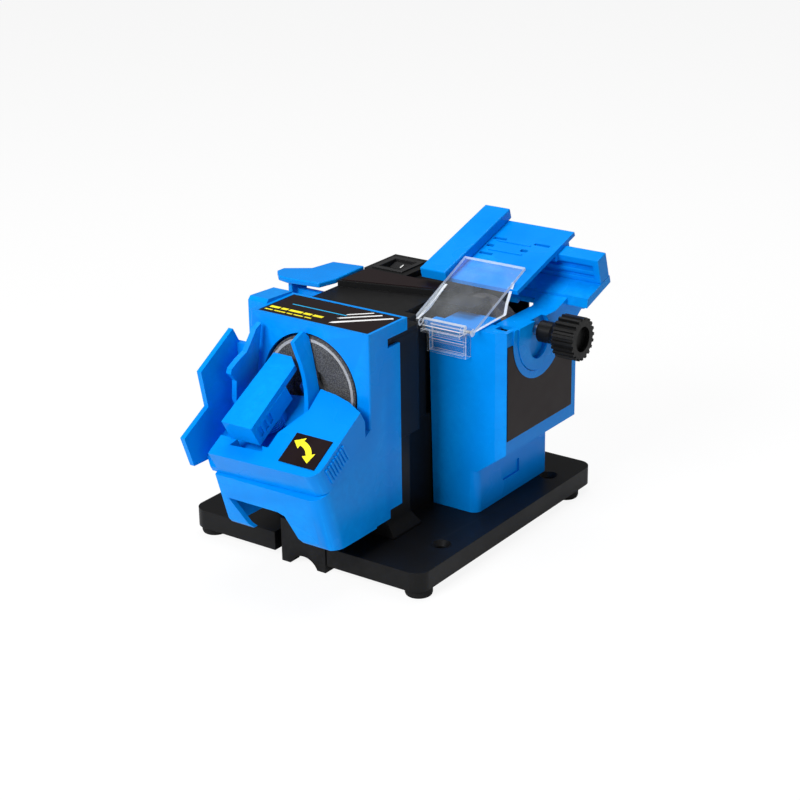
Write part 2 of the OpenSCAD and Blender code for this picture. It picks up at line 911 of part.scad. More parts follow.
module chisel_housing() {
  w = wall;
  rear_wall_top = 108;
  color(blue)
  difference() {
    union() {
      intersection() {
        along_y(ch_y0, ch_y1)
          ch_profile(0);
        union() {
          translate([0, 0, ch_slope_z])
            linear_extrude(ch_top - ch_slope_z)
              ch_plan(0);
          rounded_block([ch_x0 - 5, ch_y0, base_top], [ch_leg_x1, ch_y1, ch_step], 5);
        }
      }
      // small lug at the top of the left edge
      block([ch_x0 - 3.3, ch_y0 + 0.2, ch_top - 6.5], [ch_x0 + 3, ch_y0 + 3.5, ch_top - 0.6]);
      // raised rim round the cradle of the table's lug
      rod_x(rim_r, ch_x1 - 1, ch_x1 + 0.8);
    }
    // hollow
    difference() {
      intersection() {
        along_y(ch_y0 + w, ch_y1 - w)
          ch_profile(w);
        union() {
          translate([0, 0, ch_slope_z])
            linear_extrude(ch_top - ch_slope_z)
              ch_plan(w);
          rounded_block([ch_x0 - 5, ch_y0 + w, base_top + w], [ch_leg_x1 - w, ch_y1 - w, ch_step], 3);
        }
      }
      // inner wall that carries the clamp stud
      block([68, 4, 50], [72, 52, ch_top]);
      // screw posts on the base
      for (y = ch_screw_y)
        translate([ch_screw_x, y, base_top])
          cylinder(r = 5, h = 14);
    }
    screw_places()
      translate([0, 0, base_top - 1])
        cylinder(r = screw_r, h = 13);
    // window to the motor body
    block([ch_x0 - 6, 0, 71], [ch_foot_x0 + w + 1, 56, 130]);
    // opening for the wheel and the tilting table
    block([ch_x0 - 1, 15.5, ch_top - w - 1], [ch_x1 + 2, ch_y1 + 1, ch_top + 1]);
    block([60, pivot_y - lug_r - 0.5, ch_top - w - 1], [ch_x1 + 2, ch_y1 + 1, ch_top + 1]);
    block([ch_x0 - 1, 51, rear_wall_top], [ch_x1 + 2, ch_y1 + 1, ch_top + 1]);
    // cradle of the lug, through the outer wall only
    rod_x(lug_r + free_gap, 72, ch_x1 + 2);
    block([72, pivot_y - lug_r - free_gap, pivot_z], [ch_x1 + 2, pivot_y + lug_r + free_gap, ch_top + 20]);
    block([72, pivot_y, pivot_z - 12], [ch_x1 + 2, ch_y1 + 1, ch_top + 20]);
    block([60, ch_y0 - 5, ch_top], [ch_x1 + 5, ch_y1 + 1, ch_top + 40]);
    // inner wall stays under the table's strip
    block([66, 0, pivot_z - 2.5], [73, 60, ch_top + 1]);
    // seat of the clamp stud
    rod_x(stud_d / 2, 60, 73);
    // recess in the leg's side
    block([ch_leg_x1 - 1.2, 20, 26.5], [ch_leg_x1 + 1, 37, 34.5]);
  }
}

module chisel_label() {
  color(label_black)
  difference() {
    block([ch_x1, ch_y0 + 3.5, 62], [ch_x1 + 0.5, ch_y1 - 5, 116]);
    rod_x(rim_r, ch_x1 - 1, ch_x1 + 2);
    block([ch_x1 - 1, pivot_y, pivot_z - 12.5], [ch_x1 + 2, ch_y1 + 1, ch_top]);
  }
}

// Frame inside that holds the chisel spindle's two bearings
module spindle_frame() {
  half = 11;
  seat_r = spindle_bearing_r;
  color(dark_grey)
  difference() {
    union() {
      block([spindle_x - half, 3, frame_z], [spindle_x + half, 11, spindle_z + 10]);
      block([spindle_x - half, 48, frame_z], [spindle_x + half, 53, spindle_z + 10]);
      block([shell_x1, 3, frame_z - 5], [spindle_x + half, 53, frame_z + 2]);
    }
    rod_y(seat_r, 5, 12, spindle_x, spindle_z);
    rod_y(seat_r, 47, 52, spindle_x, spindle_z);
    rod_y(5.5, 0, 54, spindle_x, spindle_z);
  }
}

module chisel_spindle() {
  color(steel)
    rod_y(spindle_d / 2, 4, 52, spindle_x, spindle_z);
}

module spindle_bearings() {
  color(steel) {
    ring_y(spindle_bearing_r, spindle_d / 2 + run_gap, 5, 11, spindle_x, spindle_z);
    ring_y(spindle_bearing_r, spindle_d / 2 + run_gap, 47.2, 52, spindle_x, spindle_z);
  }
}

chisel_wheel_y0 = 25.5;
module chisel_wheel() {
  color(grit_white)
    ring_y(chisel_wheel_d / 2, spindle_d / 2, chisel_wheel_y0, chisel_wheel_y0 + chisel_wheel_t,
      spindle_x, spindle_z);
}

module chisel_wheel_nut() {
  color(steel)
  difference() {
    translate([spindle_x, chisel_wheel_y0 - 4.5, spindle_z])
      rotate([-90, 0, 0])
        cylinder(r = 7.5, h = 4.5, $fn = 6);
    rod_y(spindle_d / 2, 10, 40, spindle_x, spindle_z);
  }
}

// ---------- tilting table ----------

// Turns its children into the table's frame: Y runs up the table, Z stands off it, X is the pivot
module in_table() {
  translate([0, pivot_y, pivot_z])
    rotate([table_slope, 0, 0])
      children();
}

module table_yoke() {
  cheek_x0 = 72.4;
  cheek_x1 = 77.3;
  strip_x0 = 62;
  wide_x0 = 44;
  strip_t = 2;
  flat_z = ch_top - pivot_z;
  // side profile of the cheek, with the pivot at [0, 0]
  color(blue)
  difference() {
    translate([0, pivot_y, pivot_z])
      union() {
        across_x(cheek_x0, cheek_x1) {
          intersection() {
            circle(lug_r);
            translate([-30, -30])
              square([60, 30 + flat_z]);
          }
          polygon([[-20.8, 0], [-20.8, flat_z], [16, flat_z], [49, 17.4], [48, -1], [44, 0], [38, -4],
            [20, -8], [0, 0]]);
        }
        across_x(strip_x0, cheek_x1)
          polygon([[-20.8, flat_z - strip_t], [-20.8, flat_z], [16, flat_z], [49, 17.4], [49.5, 14.5],
            [17, flat_z - strip_t - 1]]);
        // wide rear part of the strip, below the rail
        across_x(wide_x0, strip_x0 + 1)
          polygon([[20.5, 5.1], [20.5, 8.3], [49, 17.3], [49.5, 14.6]]);
        rotate([table_slope, 0, 0])
          across_x(40, rail_x1)
            polygon([[29, -1.5], [31, 3.4], [56, 3.4], [56, -1]]);
      }
    // notch in the front edge of the wide part
    block([50, pivot_y + 18, pivot_z], [60, pivot_y + 23, pivot_z + 12]);
    // recess round the stud, and the stud's hole
    translate([cheek_x1 - 3, pivot_y, pivot_z])
      rotate([0, 90, 0]) {
        cylinder(r = 9, h = 5);
        translate([6, -1, 0])
          cylinder(r = 9.5, h = 5);
      }
    rod_x(stud_d / 2 + run_gap, 50, 90);
  }
}

rail_x0 = 6;
rail_x1 = 90;
bed_t = 2.5;
rail_gap = 0.3;
rail_v0 = 46.2;
rail_v1 = 55.6;
rail_top = bed_h - bed_t - rail_gap;

module slide_rail() {
  end_t = 4;
  color(blue)
  in_table() {
    across_x(rail_x0, rail_x1 - end_t)
      polygon([[rail_v0, 3.4], [rail_v0, 6.2], [rail_v0 + 1.8, 6.2], [rail_v0 + 1.8, 8.4], [rail_v0, 8.4],
        [rail_v0, 11], [rail_v0 + 3.3, 11], [rail_v0 + 3.3, 14.5], [rail_v0, 14.5], [rail_v0, rail_top],
        [rail_v1, rail_top], [rail_v1, 3.4]]);
    block([rail_x1 - end_t, rail_v0, 3.4], [rail_x1, rail_v1, rail_top]);
  }
}

car_x0 = 4.5;
car_x1 = 64.6;
car_v1 = 65.6;
module carriage() {
  t = bed_t;
  color(blue)
  in_table()
  difference() {
    union() {
      block([car_x0, 8, bed_h - t], [car_x1, car_v1, bed_h]);
      // hooks that run along the rail
      block([car_x0, rail_v0 - 3, rail_top - 3.5], [car_x1, rail_v0 - free_gap, bed_h - t]);
      block([car_x0, rail_v1 + free_gap, rail_top - 8], [car_x1, rail_v1 + 3, bed_h - t]);
      // two shallow ridges
      for (v = [34.7, 44.2])
        block([26, v, bed_h], [48, v + 1, bed_h + 0.5]);
    }
    // slots in the bed, as opposite corners in the plane of the bed
    for (slot = [[49, 46.6, 59, 48.6], [44.6, 38.3, 49, 40.9], [22.5, 45.9, 31, 48], [22.5, 38, 27, 40.4],
        [22.5, 29.8, 31, 32]])
      block([slot[0], slot[1], bed_h - t - 1], [slot[2], slot[3], bed_h + 1]);
  }
}

module fence_bar() {
  color(blue)
  in_table()
    block([car_x0, -2, bed_h], [car_x0 + 17, 68.4, bed_h + 6.5]);
}

module clamp_stud() {
  color(steel)
    rod_x(stud_d / 2, 66, 98);
}

knob_x0 = 78;
knob_x1 = 104;
module clamp_knob() {
  ribs = 20;
  ribbed_x = 91;
  grip_r = 12;
  color(black)
  difference() {
    union() {
      rod_x(6, knob_x0, 87);
      translate([86, pivot_y, pivot_z])
        rotate([0, 90, 0])
          cylinder(r1 = 6, r2 = grip_r - 1.4, h = ribbed_x - 86);
      translate([ribbed_x, pivot_y, pivot_z])
        rotate([90, 0, 90])
          linear_extrude(knob_x1 - ribbed_x)
            polygon([for (i = [0 : 2 * ribs - 1])
              let (a = 180 * i / ribs, r = i % 2 == 0 ? grip_r : grip_r - 1.4)
              each [[r * cos(a - 3.4), r * sin(a - 3.4)], [r * cos(a + 3.4), r * sin(a + 3.4)]]]);
    }
    rod_x(7, knob_x1 - 3, knob_x1 + 1);
    rod_x(stud_d / 2 + run_gap, knob_x0 - 1, 99);
  }
}

// ---------- guard ----------

guard_y = -14.5;
guard_z = 125;
guard_slope = 23.2;
guard_x0 = 22.2;
guard_x1 = 61.5;
guard_len = 56.3;
guard_wall = 1.8;
guard_rod_r = 2.2;
guard_rod_length = 5;
hinge_pin_r = 0.9;
pin_end = 1.4;

module guard() {
  rod_end = 0.3;
  skirt_in = 0.2;
  color(clear, 0.5)
  translate([0, guard_y, guard_z])
  difference() {
    union() {
      for (x = [guard_x0 + rod_end, guard_x1 - guard_rod_length - rod_end])
        across_x(x, x + guard_rod_length)
          circle(guard_rod_r);
      rotate([guard_slope, 0, 0]) {
        difference() {
          block([guard_x0, 0, -1], [guard_x1, guard_len, guard_wall - 1]);
          block([guard_x0 + guard_rod_length + 0.8, -1, -2], [guard_x1 - 6.2, 3.4, guard_wall]);
        }
        across_x(guard_x1 - guard_wall - skirt_in, guard_x1 - skirt_in)
          polygon([[0, -0.4], [30.6, -12.4], [34.7, -7.8], [45.5, -0.4], [45.5, 0.2], [0, 0.2]]);
        across_x(guard_x0 + skirt_in, guard_x0 + skirt_in + guard_wall)
          polygon([[0, -0.6], [14, -2.8], [40, -0.4], [40, 0.2], [0, 0.2]]);
      }
    }
    across_x(guard_x0 + pin_end - 0.2, guard_x1 - pin_end + 0.2)
      circle(hinge_pin_r + run_gap);
  }
}

module guard_clip() {
  clip_x0 = 29.8;
  clip_x1 = 55;
  clip_depth = 5;
  clip_z0 = 108;
  side_top = 121;
  t = 1.6;
  color(clear, 0.6) {
    // back plate on the housing, with side walls and two cross ribs
    block([clip_x0, ch_y0 - t, clip_z0], [clip_x1, ch_y0, side_top + 2]);
    for (x = [clip_x0, clip_x1 - t])
      block([x, ch_y0 - clip_depth, clip_z0], [x + t, ch_y0 - t, side_top]);
    for (z = [clip_z0, clip_z0 + 6.5])
      block([clip_x0, ch_y0 - clip_depth, z], [clip_x1, ch_y0 - t, z + t]);
    // arm that carries the hinge
    block([clip_x0, guard_y - 3.6, side_top], [clip_x1, ch_y0, side_top + t]);
    translate([0, guard_y, guard_z]) {
      across_x(clip_x0 + 0.4, clip_x1 - 0.4)
        circle(guard_rod_r);
      block([clip_x0 + 0.4, -2.4, side_top + t - 0.5 - guard_z], [clip_x1 - 0.4, 1.2, -0.5]);
      across_x(guard_x0 + pin_end, guard_x1 - pin_end)
        circle(hinge_pin_r);
    }
  }
}

// ---------- fasteners ----------

module base_screws() {
  head_z = base_top - 4;
  color(steel)
  screw_places()
  difference() {
    union() {
      translate([0, 0, head_z - 2.4])
        cylinder(r = screw_head_r, h = 2.4);
      translate([0, 0, head_z - 1])
        cylinder(r = screw_r, h = 16);
    }
    translate([0, 0, head_z - 3])
      cylinder(r = 1.6, h = 1.8, $fn = 6);
  }
}

base_plate();
rubber_feet();
front_bracket();
motor_pillar();
motor_shell();
motor_cover();
rating_plate();
switch_bezel();
switch_rocker();
stator();
field_coils();
brushes();
rotor_shaft();
armature();
commutator();
cooling_fan();
front_bearing();
rear_bearing();
motor_pulley();
drive_belt();
drill_wheel();
drill_wheel_flange();
drill_wheel_nut();
drill_housing();
drill_label();
drill_jig();
jig_guide();
clamp_bar();
clamp_screw();
jig_pivot();
arrow_label();
side_rest();
chisel_housing();
chisel_label();
spindle_frame();
chisel_spindle();
spindle_bearings();
spindle_pulley();
chisel_wheel();
chisel_wheel_nut();
table_yoke();
slide_rail();
carriage();
fence_bar();
clamp_stud();
clamp_knob();
guard();
guard_clip();
base_screws();
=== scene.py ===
import json
import math

import bmesh
import bpy
from mathutils import Matrix, Vector

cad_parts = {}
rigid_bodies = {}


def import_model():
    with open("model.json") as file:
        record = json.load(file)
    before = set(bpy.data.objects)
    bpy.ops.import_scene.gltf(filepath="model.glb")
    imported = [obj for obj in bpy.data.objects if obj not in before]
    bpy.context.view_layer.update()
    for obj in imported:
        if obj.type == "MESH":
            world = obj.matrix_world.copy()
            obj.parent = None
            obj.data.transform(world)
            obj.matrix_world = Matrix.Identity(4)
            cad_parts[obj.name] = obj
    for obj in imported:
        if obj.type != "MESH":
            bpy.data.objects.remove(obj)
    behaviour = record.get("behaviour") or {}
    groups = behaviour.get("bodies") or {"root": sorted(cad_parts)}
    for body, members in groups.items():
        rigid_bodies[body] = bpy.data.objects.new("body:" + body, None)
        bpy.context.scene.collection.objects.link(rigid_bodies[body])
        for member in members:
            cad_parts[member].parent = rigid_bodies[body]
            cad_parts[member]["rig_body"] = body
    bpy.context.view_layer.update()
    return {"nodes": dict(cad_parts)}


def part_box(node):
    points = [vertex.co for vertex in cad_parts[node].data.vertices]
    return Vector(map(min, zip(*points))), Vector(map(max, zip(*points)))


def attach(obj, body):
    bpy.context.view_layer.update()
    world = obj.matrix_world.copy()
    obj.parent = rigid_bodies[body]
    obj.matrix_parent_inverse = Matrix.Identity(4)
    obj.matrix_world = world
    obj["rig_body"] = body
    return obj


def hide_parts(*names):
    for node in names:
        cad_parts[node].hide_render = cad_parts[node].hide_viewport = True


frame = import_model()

nodes = frame["nodes"]
mm = 0.001

# ---------------------------------------------------------------- base plate and feet
# The base is one moulding of black ABS with a fine spark-eroded grain. It stands on four
# rubber feet pressed into it, and four countersunk holes take the screws to the bench.

def new_material(name):
    """A node material, with its shader and the piece's own coordinates."""
    material = bpy.data.materials.new(name)
    material.use_nodes = True
    tree = material.node_tree
    shader = tree.nodes["Principled BSDF"]
    place = tree.nodes.new("ShaderNodeTexCoord")
    return material, tree, shader, place.outputs["Object"]


def noise(tree, place, size, detail, rough=0.55):
    """Cloudy noise with blotches of about the given size in metres."""
    node = tree.nodes.new("ShaderNodeTexNoise")
    node.inputs["Scale"].default_value = 1.0 / size
    node.inputs["Detail"].default_value = detail
    node.inputs["Roughness"].default_value = rough
    tree.links.new(place, node.inputs["Vector"])
    return node.outputs["Fac"]


def spread(tree, value, low, high, start=0.3, end=0.7):
    """Stretches the part of a value from start to end over low to high."""
    node = tree.nodes.new("ShaderNodeMapRange")
    node.inputs["From Min"].default_value = start
    node.inputs["From Max"].default_value = end
    node.inputs["To Min"].default_value = low
    node.inputs["To Max"].default_value = high
    tree.links.new(value, node.inputs["Value"])
    return node.outputs["Result"]


def between(tree, amount, first, second):
    """Mixes two colours, each a plain one or a node's output."""
    node = tree.nodes.new("ShaderNodeMix")
    node.data_type = "RGBA"
    for socket, colour in (("A", first), ("B", second)):
        target = [s for s in node.inputs if s.name == socket and s.type == "RGBA"][0]
        if isinstance(colour, bpy.types.NodeSocket):
            tree.links.new(colour, target)
        else:
            target.default_value = (*colour, 1.0)
    tree.links.new(amount, node.inputs["Factor"])
    return [s for s in node.outputs if s.type == "RGBA"][0]


def bump(tree, height, depth, strength, under=None):
    """Relief from a height, laid over the relief under it where there is one."""
    node = tree.nodes.new("ShaderNodeBump")
    node.inputs["Strength"].default_value = strength
    node.inputs["Distance"].default_value = depth
    tree.links.new(height, node.inputs["Height"])
    if under is not None:
        tree.links.new(under, node.inputs["Normal"])
    return node.outputs["Normal"]


def edge_wear_and_highlight(tree):
    """1 on sharp outer edges, 0 on flats and in corners: where edges get lighter, partly wear and partly
    a painted highlight.
    """
    node = tree.nodes.new("ShaderNodeNewGeometry")
    return spread(tree, node.outputs["Pointiness"], 0.0, 1.0, 0.52, 0.60)


def moulded(name, colour, wear_and_highlight, rough, grain, depth, gloss, cloud=35 * mm):
    """Moulded plastic: grain in the surface, slow colour drift, rubbed edges painted lighter, which also
    stand for a painted highlight along them.
    """
    scuff_size = 4 * mm
    wave_size = 30 * mm
    wave_depth = 0.4 * mm
    material, tree, shader, place = new_material(name)
    drift = noise(tree, place, cloud, 2.0)
    deep = [c * 0.90 for c in colour]
    body = between(tree, spread(tree, drift, 0.0, 1.0), deep, colour)
    scuffs = noise(tree, place, scuff_size, 5.0, 0.7)
    scuffed = between(tree, spread(tree, scuffs, 0.0, 0.10, 0.60, 0.75), body, wear_and_highlight)
    # sharp edges are mixed towards the lighter colour: partly rubbed wear, partly a painted highlight
    # along the edges
    edges = tree.nodes.new("ShaderNodeMath")
    edges.operation = "MULTIPLY"
    tree.links.new(edge_wear_and_highlight(tree), edges.inputs[0])
    tree.links.new(spread(tree, scuffs, 0.05, 0.45), edges.inputs[1])
    tree.links.new(between(tree, edges.outputs[0], scuffed, wear_and_highlight), shader.inputs["Base Color"])
    tree.links.new(spread(tree, drift, rough - 0.05, rough + 0.07), shader.inputs["Roughness"])
    fine = bump(tree, noise(tree, place, grain, 2.0), depth, 0.6)
    waves = bump(tree, noise(tree, place, wave_size, 0.0), wave_depth, 0.10, fine)
    tree.links.new(waves, shader.inputs["Normal"])
    shader.inputs["Specular IOR Level"].default_value = gloss
    return material


black_plastic = moulded("black_grained_plastic", (0.0060, 0.0060, 0.0062), wear_and_highlight=(0.022, 0.022, 0.022),
    rough=0.38, grain=0.6 * mm, depth=0.06 * mm, gloss=0.15)
foot_rubber = moulded("foot_rubber", (0.010, 0.010, 0.010), wear_and_highlight=(0.03, 0.03, 0.03),
    rough=0.72, grain=0.9 * mm, depth=0.06 * mm, gloss=0.15)


def finish_node(name, material):
    """Gives a solid its finish where its own mesh is already the right shape."""
    finishes = nodes[name].data.materials
    finishes.clear()
    finishes.append(material)


# edges that turn by more than this are real corners
crease = math.radians(32)


def eased(name, material, radius, segments=3, *, slot):
    """A copy of a solid with its moulded edge radii, which stands in the solid's place."""
    source = nodes[name]
    mesh = bpy.data.meshes.new(name + "_moulding")
    shape = bmesh.new()
    shape.from_mesh(source.data)
    # joins the loose triangles, and clears the edges inside flat faces
    bmesh.ops.remove_doubles(shape, verts=shape.verts, dist=0.002 * mm)
    bmesh.ops.dissolve_limit(shape, angle_limit=math.radians(1.0), use_dissolve_boundaries=False,
        verts=shape.verts, edges=shape.edges, delimit=set())
    shape.to_mesh(mesh)
    shape.free()
    mesh.materials.clear()
    mesh.materials.append(material)
    for polygon in mesh.polygons:
        polygon.use_smooth = True
        polygon.material_index = 0
    mesh.set_sharp_from_angle(angle=crease)
    piece = bpy.data.objects.new(name + "_moulding", mesh)
    bpy.context.scene.collection.objects.link(piece)
    edge = piece.modifiers.new("edge radius", "BEVEL")
    edge.width = radius
    edge.segments = segments
    edge.limit_method = "ANGLE"
    edge.angle_limit = crease
    edge.use_clamp_overlap = True
    edge.harden_normals = False
    even = piece.modifiers.new("even shading", "WEIGHTED_NORMAL")
    even.keep_sharp = True
    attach(piece, source["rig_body"])
    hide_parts(name)
    return piece


eased("base_plate", black_plastic, 0.9 * mm, slot="black_plastic")
eased("rubber_feet", foot_rubber, 0.6 * mm, slot="black_rubber")

# ---------------------------------------------------------------- bracket, pillar and motor body
# Black glass-filled mouldings: the bracket that carries the jig's pivot, the pillar that lifts
# the motor off the base, and the shell and cover that close round the motor.

for name, radius in (("front_bracket", 0.7), ("motor_pillar", 0.9), ("motor_shell", 0.9),
        ("motor_cover", 0.7)):
    eased(name, black_plastic, radius * mm, slot="black_plastic")

# ---------------------------------------------------------------- rating plate
# A thin printed film with a satin lacquer, glued into its place on the cover. It is left bare.

def printed_film(name, colour, rough):
    """Ink under a thin lacquer, a little cloudy, with the film's fine unevenness."""
    material, tree, shader, place = new_material(name)
    cloud = noise(tree, place, 12 * mm, 3.0)
    light = [c * 1.35 + 0.001 for c in colour]
    mottled = between(tree, spread(tree, cloud, 0.0, 0.6), colour, light)
    tree.links.new(mottled, shader.inputs["Base Color"])
    tree.links.new(spread(tree, cloud, rough - 0.06, rough + 0.08), shader.inputs["Roughness"])
    tree.links.new(bump(tree, noise(tree, place, 1.2 * mm, 2.0), 0.03 * mm, 0.4), shader.inputs["Normal"])
    shader.inputs["Specular IOR Level"].default_value = 0.10
    shader.inputs["Coat Weight"].default_value = 0.04
    shader.inputs["Coat Roughness"].default_value = 0.15
    return material


dark_film = printed_film("dark_label_film", (0.011, 0.006, 0.0065), 0.34)
finish_node("rating_plate", dark_film)

# ---------------------------------------------------------------- switch
# A snap-in rocker switch: a polyamide frame, a rocker with raised ends, and white I and O marks
# printed on its two slopes.

switch_plastic = moulded("switch_polyamide", (0.010, 0.010, 0.011), wear_and_highlight=(0.04, 0.04, 0.04),
    rough=0.30, grain=0.8 * mm, depth=0.04 * mm, gloss=0.3)
eased("switch_bezel", switch_plastic, 0.35 * mm, slot="black_plastic")
eased("switch_rocker", switch_plastic, 0.4 * mm, slot="dark_grey_plastic")
mark_paint = printed_film("white_mark_paint", (0.78, 0.78, 0.76), 0.45)


def flat_piece(name, shape, material, body, place):
    """Makes a small piece of a shape: places its mesh, gives it its finish and ties it to its body."""
    bmesh.ops.transform(shape, matrix=place, verts=shape.verts)
    bmesh.ops.recalc_face_normals(shape, faces=shape.faces)
    mesh = bpy.data.meshes.new(name)
    shape.to_mesh(mesh)
    shape.free()
    mesh.materials.append(material)
    piece = bpy.data.objects.new(name, mesh)
    bpy.context.scene.collection.objects.link(piece)
    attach(piece, body)
    return piece


def bar(width, depth, height):
    """A flat bar about the origin."""
    shape = bmesh.new()
    bmesh.ops.create_cube(shape, size=1.0)
    bmesh.ops.scale(shape, vec=(width, depth, height), verts=shape.verts)
    return shape


full_turn = 2 * math.pi


def ring_sector(radius, width, height, sweep):
    """A flat band bent round Z, from a small section spun through the sweep."""
    shape = bmesh.new()
    bmesh.ops.create_grid(shape, x_segments=1, y_segments=1, size=0.5)
    bmesh.ops.scale(shape, vec=(width, height, 1.0), verts=shape.verts)
    bmesh.ops.rotate(shape, cent=(0, 0, 0), matrix=Matrix.Rotation(math.radians(90), 3, "X"),
        verts=shape.verts)
    bmesh.ops.translate(shape, vec=(radius, 0, 0), verts=shape.verts)
    bmesh.ops.spin(shape, geom=shape.verts[:] + shape.edges[:] + shape.faces[:], cent=(0, 0, 0),
        axis=(0, 0, 1), angle=sweep, steps=40, use_merge=sweep == full_turn)
    return shape


# the rocker's outline in millimetres: its length inside the frame, and heights over its pivot
frame_length, frame_rim, rocker_gap = 20, 1.6, 1.2
front_end, valley, rear_end = 4.6, 1.6, 3.2
low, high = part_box("switch_rocker")
middle = (low + high) / 2
rocker_pivot = Vector((middle.x, 39 * mm, 130 * mm))
half = (frame_length / 2 - frame_rim - rocker_gap) * mm


def on_slope(side, end):
    """The middle of the rocker's rear (1) or front (-1) slope, from the valley up to its end."""
    rise = math.atan2(end - valley, half / mm)
    offset = Vector((0, side * half * 0.5, (valley + end) / 2 * mm))
    return Matrix.Translation(rocker_pivot + offset) @ Matrix.Rotation(side * rise, 4, "X")


mark_height = 0.12 * mm
flat_piece("switch_mark_on", bar(0.7 * mm, 3.6 * mm, mark_height), mark_paint, "rocker",
    on_slope(1, rear_end))
flat_piece("switch_mark_off", ring_sector(1.7 * mm, 0.6 * mm, mark_height, full_turn), mark_paint,
    "rocker", on_slope(-1, front_end))

# ---------------------------------------------------------------- motor inside
# A brushed motor: laminated stator, copper windings, an armature on a ground shaft, a moulded
# fan, carbon brushes and ball bearings. The machine's other shafts, pins, nuts and screws are of
# the same ground steel.

def metal(name, colour, rough, streak):
    """Bare metal with fine marks drawn out by the streak's scale, and a slow change of shine."""
    material, tree, shader, place = new_material(name)
    cloud = noise(tree, place, 9 * mm, 4.0)
    deep = [c * 0.82 for c in colour]
    mottled = between(tree, spread(tree, cloud, 0.0, 1.0), deep, colour)
    tree.links.new(mottled, shader.inputs["Base Color"])
    tree.links.new(spread(tree, cloud, rough - 0.07, rough + 0.10), shader.inputs["Roughness"])
    shader.inputs["Metallic"].default_value = 1.0
    drawn = tree.nodes.new("ShaderNodeMapping")
    drawn.inputs["Scale"].default_value = streak
    tree.links.new(place, drawn.inputs["Vector"])
    marks = noise(tree, drawn.outputs["Vector"], 0.6 * mm, 3.0)
    tree.links.new(bump(tree, marks, 0.03 * mm, 0.5), shader.inputs["Normal"])
    return material


ground_steel = metal("ground_steel", (0.56, 0.57, 0.59), rough=0.26, streak=(1.0, 0.08, 1.0))
stamped_steel = metal("stamped_core_steel", (0.30, 0.30, 0.31), rough=0.45, streak=(0.2, 3.0, 0.2))
copper = metal("enamelled_copper", (0.70, 0.33, 0.14), rough=0.34, streak=(0.3, 0.1, 3.0))
for name in ("rotor_shaft", "front_bearing", "rear_bearing", "motor_pulley", "drill_wheel_flange",
        "drill_wheel_nut", "jig_pivot", "chisel_spindle", "spindle_bearings", "spindle_pulley",
        "chisel_wheel_nut", "clamp_stud", "base_screws"):
    finish_node(name, ground_steel)
for name in ("stator", "armature"):
    finish_node(name, stamped_steel)
for name in ("field_coils", "commutator"):
    finish_node(name, copper)
for name in ("cooling_fan", "brushes", "spindle_frame"):
    finish_node(name, switch_plastic)

# ---------------------------------------------------------------- drive belt
# A flat endless rubber belt, which runs out through the motor body's side window, from the
# motor's pulley to the chisel spindle's larger one.

finish_node("drive_belt", foot_rubber)

# ---------------------------------------------------------------- rear panel behind the belt drive, black as painted shade
# A thin black moulded panel that closes the opening behind the belt, between the motor body and
# the chisel housing. It stands on the housing's rear edge. Its black is painted shade: it fills
# the dark, shaded gap behind the carriage.

def slab(corners, along):
    """A thin solid: a flat outline drawn out along a vector."""
    shape = bmesh.new()
    flat = shape.faces.new([shape.verts.new(corner) for corner in corners])
    thick = bmesh.ops.extrude_face_region(shape, geom=[flat])
    moved = [item for item in thick["geom"] if isinstance(item, bmesh.types.BMVert)]
    bmesh.ops.translate(shape, vec=along, verts=moved)
    return shape


panel_front = 60.1 * mm
panel_thickness = 1.4 * mm
outline = ((15.2, 108.2), (49.6, 108.2), (49.6, 119.6), (39.8, 119.6), (39.8, 127.3), (15.2, 127.3))
# a black panel filling a shaded gap: painted shade
panel = slab([(x * mm, panel_front, z * mm) for x, z in outline], (0, panel_thickness, 0))
flat_piece("rear_shade_panel", panel, black_plastic, "base", Matrix.Identity(4))

# ---------------------------------------------------------------- grinding wheels
# Bonded corundum: a grey wheel for drills and a paler one for chisels, with open pores and
# coarse grit. A light ring on the drill wheel's face is a painted highlight along its rim.

def abrasive(name, binder, grit, grain):
    """Grit of the given grain in a darker binder, with pores between and dust in patches."""
    material, tree, shader, place = new_material(name)
    cells = tree.nodes.new("ShaderNodeTexVoronoi")
    cells.inputs["Scale"].default_value = 1.0 / grain
    tree.links.new(place, cells.inputs["Vector"])
    cloud = noise(tree, place, 10 * mm, 4.0)
    grains = between(tree, spread(tree, cells.outputs["Distance"], 0.0, 1.0, 0.1, 0.7), grit, binder)
    dust = [c * 0.62 for c in binder]
    dusty = between(tree, spread(tree, cloud, 0.0, 0.55), grains, dust)
    tree.links.new(dusty, shader.inputs["Base Color"])
    shine = spread(tree, cells.outputs["Distance"], 0.55, 0.95, 0.0, 0.6)
    tree.links.new(shine, shader.inputs["Roughness"])
    pores = bump(tree, cells.outputs["Distance"], 0.25 * mm, 0.8)
    lumps = bump(tree, noise(tree, place, grain * 2.5, 4.0), 0.2 * mm, 0.5, pores)
    tree.links.new(lumps, shader.inputs["Normal"])
    return material


grey_corundum = abrasive("grey_corundum", (0.045, 0.047, 0.050), (0.16, 0.16, 0.16), grain=0.7 * mm)
pale_corundum = abrasive("pale_corundum", (0.10, 0.095, 0.09), (0.24, 0.23, 0.22), grain=0.7 * mm)
rim_highlight_grit = abrasive("rim_highlight_grit", (0.36, 0.37, 0.38), (0.62, 0.63, 0.64), grain=0.5 * mm)
eased("drill_wheel", grey_corundum, 0.7 * mm, slot="grey_abrasive")
eased("chisel_wheel", pale_corundum, 0.7 * mm, slot="white_abrasive")
low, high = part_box("drill_wheel")
centre = (low + high) / 2
face = Matrix.Translation((centre.x, low.y, centre.z)) @ Matrix.Rotation(math.radians(90), 4, "X")
# a pale ring near the rim of the drill wheel's face: painted highlight
flat_piece("rim_highlight_band", ring_sector(27.4 * mm, 1.6 * mm, 0.05 * mm, full_turn), rim_highlight_grit,
    "motor", face)

# ---------------------------------------------------------------- drill housing and its label
# Glossy blue ABS, moulded in one piece with the chin that the jig turns on. A dark film with
# plain coloured stripes and three drill signs is glued into the top.

